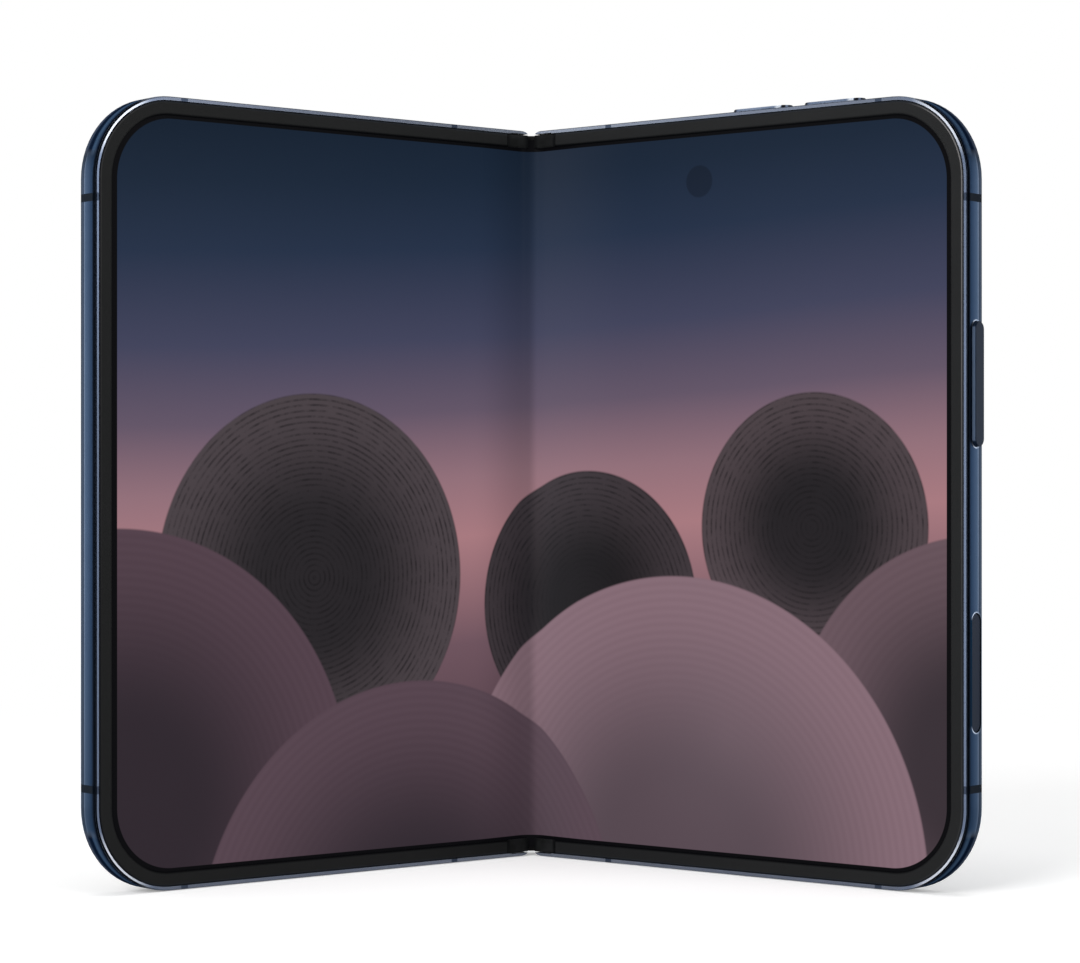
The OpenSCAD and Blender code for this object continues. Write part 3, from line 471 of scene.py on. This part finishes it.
# Discs of the design, from the back to the front: centre, radius, colours at the edge and in the middle, and
# whether the rings are soft (or else fine and broken up)
DISCS = [((-44, 47), 29, (74, 66, 70), (40, 37, 40), False), ((56, 55), 21, (76, 66, 70), (36, 33, 36), False),
         ((12, 42), 22, (60, 53, 57), (28, 26, 28), False), ((-80, 12), 43, (84, 66, 76), (48, 40, 47), True),
         ((86, 20), 34, (104, 84, 92), (58, 49, 55), True), ((30, 0), 47, (134, 108, 118), (84, 70, 78), True),
         ((-24, -12), 42, (88, 70, 80), (50, 42, 49), True)]


def disc(m, u, v, centre, r, edge):
    """1 inside a disc and 0 outside, over a soft edge; and the distance from its centre."""
    d = m.hypot(m.sub(u, centre[0]), m.sub(v, centre[1]))
    return m.smooth(d, r - edge, r + edge, 1, 0), d


def screen_material():
    """A lit screen with a plain abstract of large overlapping discs, and the dark border round it."""
    m = Mat("lit_screen")
    u, v = m.uv()
    drift = m.noise(m.object_pos(), 10, 2)
    t = m.add(m.div(v, H), m.mul(m.sub(drift, 0.5), 0.05))
    col = m.ramp(m.add(t, m.mul(u, -0.0005)), SKY_STOPS)
    for centre, r, edge_tone, mid_tone, soft in DISCS:
        inside, d = disc(m, u, v, centre, r, 0.25)
        shade = m.smooth(d, r * 0.3, r)
        body = m.mix(shade, lin(*mid_tone), lin(*edge_tone))
        if soft:
            lines = m.mul(m.mapped(m.wave(d, 1.3), -1, 1), m.mapped(shade, 0.05, 0.7, 0.0, 0.13))
            body = m.mix(lines, body, m.mix(1.0, body, (0.55, 0.5, 0.52, 1), "MULTIPLY"))
        else:
            broken = m.noise(m.object_pos(), 420, 6, 0.7)
            lines = m.mul(m.mapped(m.wave(d, 0.9), -0.2, 0.9), m.mapped(broken, 0.38, 0.62))
            body = m.mix(m.mul(lines, 0.6), body, lin(24, 22, 24))
        col = m.mix(inside, col, body)
    glow, _ = disc(m, u, v, (40, 22), 4, 34)
    col = m.mix(m.mul(glow, 0.28), col, lin(150, 130, 140))
    camera, _ = disc(m, u, v, CAMERA_DISC[:2], CAMERA_DISC[2], 0.15)
    col = m.mix(m.mul(camera, 0.4), col, lin(12, 16, 24))
    # painted shade on the left of the fold and a painted highlight on its right
    crease_shade = m.mul(m.smooth(u, -13, -0.6, 0, 0.28), m.smooth(u, -0.6, 1.2, 1, 0))
    col = m.mix(crease_shade, col, lin(8, 12, 18))
    crease_highlight = m.mul(m.smooth(u, -1, 3, 0, 0.018), m.smooth(u, 2, 24, 1, 0))
    col = m.mix(crease_highlight, col, lin(190, 190, 200))
    # the dark border round the lit area
    around = m.inset(m.add(m.absolute(m.sub(u, 0.1)), 0.38), v, CORNER_R)
    col = m.mix(m.mapped(around, 3.32, 3.4, 1, 0), col, lin(7, 7, 9))
    m.set(color=lin(5, 5, 6), rough=0.3, spec=0.02, glow=col, glow_strength=1.0)
    m.bump(m.noise(m.object_pos(), 2500, 2), 0.02, 0.00001)
    return m.m


def mesh_object(name, bm, material, smooth=True):
    me = bpy.data.meshes.new(name)
    bm.normal_update()
    bm.to_mesh(me)
    bm.free()
    for p in me.polygons:
        p.use_smooth = smooth
    o = bpy.data.objects.new(name, me)
    bpy.context.scene.collection.objects.link(o)
    me.materials.append(material)
    return o


def strip_solid(name, columns, material):
    """A closed sheet from columns of (u, front point, back point, lowest z, highest z), in millimetres."""
    bm = bmesh.new()
    uv_layer = bm.loops.layers.uv.new("UVMap")
    rows = 5
    grid = []
    for u, f, b, z0, z1 in columns:
        column = []
        for k in range(rows):
            z = z0 + (z1 - z0) * k / (rows - 1)
            pair = [bm.verts.new((x * MM, y * MM, z * MM)) for x, y in (f, b)]
            column.append([(vert, u, z) for vert in pair])
        grid.append(column)

    def face(corners):
        made = bm.faces.new([vert for vert, _, _ in corners])
        for loop, (_, u, z) in zip(made.loops, corners):
            loop[uv_layer].uv = (u, z)

    def wall(a, b, flip):
        """A face between the front and back sheets, from the grid point a to b."""
        corners = [a[0], a[1], b[1], b[0]]
        face(corners[::-1] if flip else corners)

    for near, far in zip(grid, grid[1:]):
        for k in range(rows - 1):
            ring = (near[k], far[k], far[k + 1], near[k + 1])
            face([p[0] for p in ring])
            face([p[1] for p in ring[::-1]])
        wall(near[0], far[0], False)
        wall(near[-1], far[-1], True)
    for column, flip in ((grid[0], True), (grid[-1], False)):
        for a, b in zip(column, column[1:]):
            wall(a, b, flip)
    bmesh.ops.recalc_face_normals(bm, faces=bm.faces)
    o = mesh_object(name, bm, material)
    o.data.set_sharp_from_angle(angle=math.radians(35))
    return o


def placed(side, u, f, b, z):
    """One column of a strip on the given side, from its points beside the right fold."""
    return (side * u, (side * f[0], f[1] + SHIFT), (side * b[0], b[1] + SHIFT), z, H - z)


def panel_columns(side):
    """The flat part of the screen on one half, from the wing's pivot to the round outer corners."""
    r = CORNER_R - SCREEN_INSET
    start, end = WING_PIVOT[0], W - CORNER_R
    xs = [start + (end - start) * k / 12 for k in range(13)]
    xs += [end + r * math.sin(math.radians(a)) for a in range(5, 91, 5)]
    out = []
    for x in xs:
        over = max(0.0, x - end)
        z = SCREEN_INSET + r - math.sqrt(max(0.0, r * r - over * over))
        z = min(z, H / 2 - 12)
        f = turned((x, SCREEN_FRONT), AXIS, -FOLD)
        b = turned((x, SCREEN_FRONT + SCREEN_THICK), AXIS, -FOLD)
        out.append(placed(side, x, f, b, z))
    return out


def bend_columns(side):
    """The bend at rest: 10 steps lie flat on the wing plate, and 20 follow an arc to the middle of the spine."""
    x0 = WING_PIVOT[0]
    root = turned(turned((x0, SCREEN_FRONT), WING_PIVOT, -WING_TILT), AXIS, -FOLD)
    slope = FOLD + WING_TILT
    radius = (root[0] / math.cos(slope) - x0) / (math.tan(slope) - slope)
    flat = root[0] / math.cos(slope) - radius * math.tan(slope)
    arc_y = root[1] + (root[0] * math.sin(slope) - radius) / math.cos(slope)
    out = []
    for k in range(11):
        s = flat * k / 10
        f = (root[0] - s * math.cos(slope), root[1] + s * math.sin(slope))
        b = (f[0] + SCREEN_THICK * math.sin(slope), f[1] + SCREEN_THICK * math.cos(slope))
        out.append(placed(side, x0 - s, f, b, SCREEN_INSET))
    for k in range(1, 21):
        a = slope * (1 - k / 20)
        f, b = ((r * math.sin(a), arc_y + r * math.cos(a)) for r in (radius, radius + SCREEN_THICK))
        out.append(placed(side, radius * a, f, b, SCREEN_INSET))
    return out


def spine_share(u):
    """How far a point of the bend lags towards the spine, where it lies on the tilting wing plate."""
    return WING_RATIO * (WING_PIVOT[0] - u) / (u - AXIS[0])


screen = screen_material()
for side, word in HALVES:
    flat_panel = strip_solid(f"{word}_screen", panel_columns(side), screen)
    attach(flat_panel, f"{word}_half")
    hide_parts(f"{word}_display_panel")
    # the bend is cut into a chain of strips at the listed columns, each paired with its share from spine_share; the
    # shares are not used, and the strips are fixed in place as at rest
    cols = bend_columns(side)
    chain = [(k, spine_share(abs(cols[k][0]))) for k in (0, 5, 8, 10)] + [(30, 1.0)]
    for n, ((i, wi), (j, wj)) in enumerate(zip(chain, chain[1:])):
        bend = strip_solid(f"{word}_screen_bend_{n + 1}", cols[i:j + 1], screen)
        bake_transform(bend)
        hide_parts("display_bend")

# ---- materials on the CAD nodes --------------------------------------------------------


def give(material, *nodes):
    for n in nodes:
        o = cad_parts[n]
        o.data.materials.clear()
        o.data.materials.append(material)


def rear_glass_material():
    m = Mat("frosted_back_glass")
    base = m.mix(m.noise(m.object_pos(), 25, 2), lin(62, 76, 98), lin(72, 87, 110))
    flake = m.mapped(m.cells(9000, 0), 0.93, 1.0, 0, 0.35)
    m.set(color=m.mix(flake, base, lin(150, 165, 190)), metal=0.35, rough=0.42, spec=0.5, coat=0.15)
    m.bump(m.noise(m.object_pos(), 4000, 2), 0.06, 0.00001)
    return m.m


def dark_glass_material(name):
    m = Mat(name)
    haze = m.noise(m.object_pos(), 40, 3)
    m.set(color=m.mix(haze, lin(10, 11, 14), lin(13, 14.3, 18.2)), rough=m.mapped(haze, 0, 1, 0.08, 0.14), spec=0.17)
    return m.m


def lens_material():
    """Lens glasses with coloured coating in the middle and thin rings round it."""
    m = Mat("lens_coated_glass")
    dist = m.smaller(*(m.distance(half_point(x, LENS_Y, LENS_Z)) for x in LENS_XS))
    rings = m.ramp(m.div(m.mul(dist, 1000), LENS_R), [
        (0.0, (40, 66, 122)), (0.14, (58, 44, 108)), (0.26, (10, 12, 20)), (0.4, (18, 21, 32)), (0.44, (70, 74, 86)),
        (0.48, (10, 11, 14)), (0.68, (16, 17, 21)), (0.72, (54, 57, 66)), (0.76, (7, 7, 9)), (1.0, (9, 9, 11))])
    m.set(color=rings, rough=0.05, spec=0.14)
    return m.m


def battery_material():
    m = Mat("battery_wrap")
    fold = m.noise(m.object_pos((1, 1, 0.2)), 200, 4)
    m.set(color=m.mix(fold, lin(38, 38, 42), lin(56, 56, 60)), rough=0.35, spec=0.5)
    m.bump(fold, 0.2, 0.0001)
    return m.m


def board_material():
    m = Mat("board_resist")
    parts = m.cells(420, 1)
    tracks = m.noise(m.object_pos(), 900, 5)
    base = m.mix(m.mapped(tracks, 0.45, 0.55), lin(14, 62, 38), lin(24, 84, 52))
    m.set(color=m.mix(m.mapped(parts, 0.8, 0.82), base, lin(120, 118, 108)), rough=0.45)
    m.bump(parts, 0.2, 0.0002)
    return m.m


def coil_material():
    m = Mat("enamelled_wire")
    turns = m.wave(m.distance(half_point(*COIL_CENTRE)), 1 / 1400)
    m.set(color=m.mix(m.mapped(turns, -1, 1), lin(120, 64, 28), lin(196, 120, 62)), metal=1.0, rough=0.3)
    m.bump(turns, 0.4, 0.0002)
    return m.m


for side, word in HALVES:
    give(frame_metal(f"{word}_frame_metal", side), f"{word}_frame")
    give(frame_metal(f"{word}_antenna_plastic", side, True), f"{word}_antenna_bands")
    give(bezel_material(f"{word}_bezel_plastic", side), f"{word}_bezel")
    give(cap_material(f"{word}_cap_plastic", side), f"{word}_hinge_caps")
give(key_material("power_metal", (22, 32, 47)), "power_button")
give(key_material("volume_up_metal", (27, 35, 48), VOLUME_UP), "volume_up_button")
give(key_material("volume_down_metal", (27, 35, 48), VOLUME_DOWN), "volume_down_button")
give(key_material("capture_metal", (16, 27, 44)), "capture_key")
give(metal("spine_metal", lin(62, 78, 104), 0.34), "spine_cover")
give(plastic("end_cap_plastic", lin(9, 9, 10), 0.6, 900, 0.5, 0.2), "spine_end_caps")
give(rear_glass_material(), "rear_glass")
give(dark_glass_material("cover_glass_dark"), "cover_glass")
give(dark_glass_material("cover_screen_off"), "cover_display")
give(lens_material(), "rear_lens_glasses")
give(metal("island_metal", lin(70, 86, 110), 0.36, (1, 1, 1), 0.06, 0.9, 0.12), "camera_island")
give(plastic("camera_black", lin(16, 16, 18), 0.35), "rear_camera_modules", "inner_camera", "cover_camera")
give(plastic("flash_diffuser", lin(232, 224, 196), 0.25, 400, 0.3, 0.6), "flash_lens")
give(metal("plate_steel", lin(150, 150, 154), 0.3), "right_display_plate", "left_display_plate",
     "right_wing_plate", "left_wing_plate", "right_magnets", "left_magnets", "vibration_motor", "key_switches")
give(metal("hinge_steel", lin(128, 128, 132), 0.25, (1, 1, 1)), "hinge_bases", "right_hinge_screws",
     "left_hinge_screws", "right_friction_discs", "left_friction_discs")
give(metal("leaf_steel", lin(52, 56, 64), 0.45, (1, 1, 1), 0.06, 0.6), "right_rotors", "left_rotors")
give(metal("gear_steel", lin(176, 172, 162), 0.22, (1, 1, 1)), "right_drive_gears", "left_drive_gears",
     "right_idler_gears", "left_idler_gears")
give(metal("can_steel", lin(160, 160, 164), 0.35, (40, 1, 1)), "board_shields", "usb_receptacle")
give(battery_material(), "right_battery", "left_battery")
give(board_material(), "main_board", "lower_board", "left_board")
give(plastic("moulded_black", lin(26, 26, 28), 0.5), "usb_tongue", "loudspeaker", "left_speaker",
     "earpiece_speaker")
give(plastic("polyimide_film", lin(150, 96, 40), 0.35), "hinge_flex", "right_flex_tail", "left_flex_tail")
give(coil_material(), "charging_coil")

# ---- camera --------------------------------------------------------------------------

cam = bpy.data.cameras.new("camera")
cam.sensor_fit = "HORIZONTAL"
cam.sensor_width = 36
cam.lens = 99.1
cam.shift_x = 0.008
cam.shift_y = 0.011
cam.clip_start = 0.01
cam.clip_end = 20
cam_o = bpy.data.objects.new("camera", cam)
bpy.context.scene.collection.objects.link(cam_o)
cam_o.location = (0, -0.4715, 0.0603)
cam_o.rotation_euler = (math.radians(90), 0, 0)
bpy.context.scene.camera = cam_o

# ---- floor, backdrop and light ---------------------------------------------------------


def pale_floor():
    """A pale floor that takes the object's shadow, and that looks pure white further away."""
    m = Mat("floor_pale")
    m.set(color=m.mix(m.noise(m.object_pos(), 30, 2), lin(240, 240, 240), lin(244, 244, 244)), rough=0.9, spec=0.0)
    far = m.n("ShaderNodeVectorMath", operation="LENGTH")
    m.link(m.object_pos(), far.inputs[0])
    away = m.smooth(far.outputs["Value"], 0.1, 0.4)
    path = m.n("ShaderNodeLightPath")
    seen = m.larger(path.outputs["Is Camera Ray"], path.outputs["Is Glossy Ray"])
    m.set(glow=(1, 1, 1, 1), glow_strength=m.mul(path.outputs["Is Camera Ray"], 0.3))
    white = m.n("ShaderNodeEmission")
    white.inputs[0].default_value = (1, 1, 1, 1)
    blend = m.n("ShaderNodeMixShader")
    m.link(m.mul(away, seen), blend.inputs[0])
    m.link(m.b.outputs[0], blend.inputs[1])
    m.link(white.outputs[0], blend.inputs[2])
    m.link(blend.outputs[0], m.t.nodes["Material Output"].inputs[0])
    return m.m


bm = bmesh.new()
bmesh.ops.create_grid(bm, x_segments=8, y_segments=8, size=6)
floor = mesh_object("floor", bm, pale_floor(), False)
floor.location = (0, 0, -0.0001)

# the world looks white, and lights the object with 0.3 of that
world = bpy.data.worlds.new("studio")
bpy.context.scene.world = world
world.use_nodes = True
nodes, links = world.node_tree.nodes, world.node_tree.links
background = nodes["Background"]
background.inputs["Color"].default_value = (1, 1, 1, 1)
path = nodes.new("ShaderNodeLightPath")
seen = nodes.new("ShaderNodeMath")
seen.operation = "MAXIMUM"
links.new(path.outputs["Is Camera Ray"], seen.inputs[0])
links.new(path.outputs["Is Transmission Ray"], seen.inputs[1])
strength = nodes.new("ShaderNodeMix")
strength.data_type = "FLOAT"
strength.inputs[2].default_value = 0.3
strength.inputs[3].default_value = 1.0
links.new(seen.outputs[0], strength.inputs[0])
links.new(strength.outputs[0], background.inputs["Strength"])


def area(name, place, size, power, height=None):
    """An area light that looks at the middle of the phone; `height` makes it a rectangle."""
    light = bpy.data.lights.new(name, "AREA")
    light.energy = power
    light.size = size
    if height:
        light.shape = "RECTANGLE"
        light.size_y = height
    o = bpy.data.objects.new(name, light)
    bpy.context.scene.collection.objects.link(o)
    o.location = place
    o.rotation_euler = (Vector((0, 0, 0.06)) - Vector(place)).to_track_quat("-Z", "Y").to_euler()


area("key", (-0.55, -0.8, 0.55), 0.5, 7)
area("fill", (0.8, -0.55, 0.4), 0.5, 2)
area("left_front", (-0.8, -0.2, 0.08), 0.25, 0.5, 0.4)
area("top", (0, -0.1, 1.1), 0.6, 3.5)
area("left_strip", (-0.7, 0.12, 0.1), 0.25, 0.9, 0.5)
area("right_strip", (0.7, 0.12, 0.1), 0.25, 0.8, 0.5)
area("back", (0.0, 1.0, 0.08), 0.6, 3.5)

bpy.context.scene.view_settings.view_transform = "Standard"
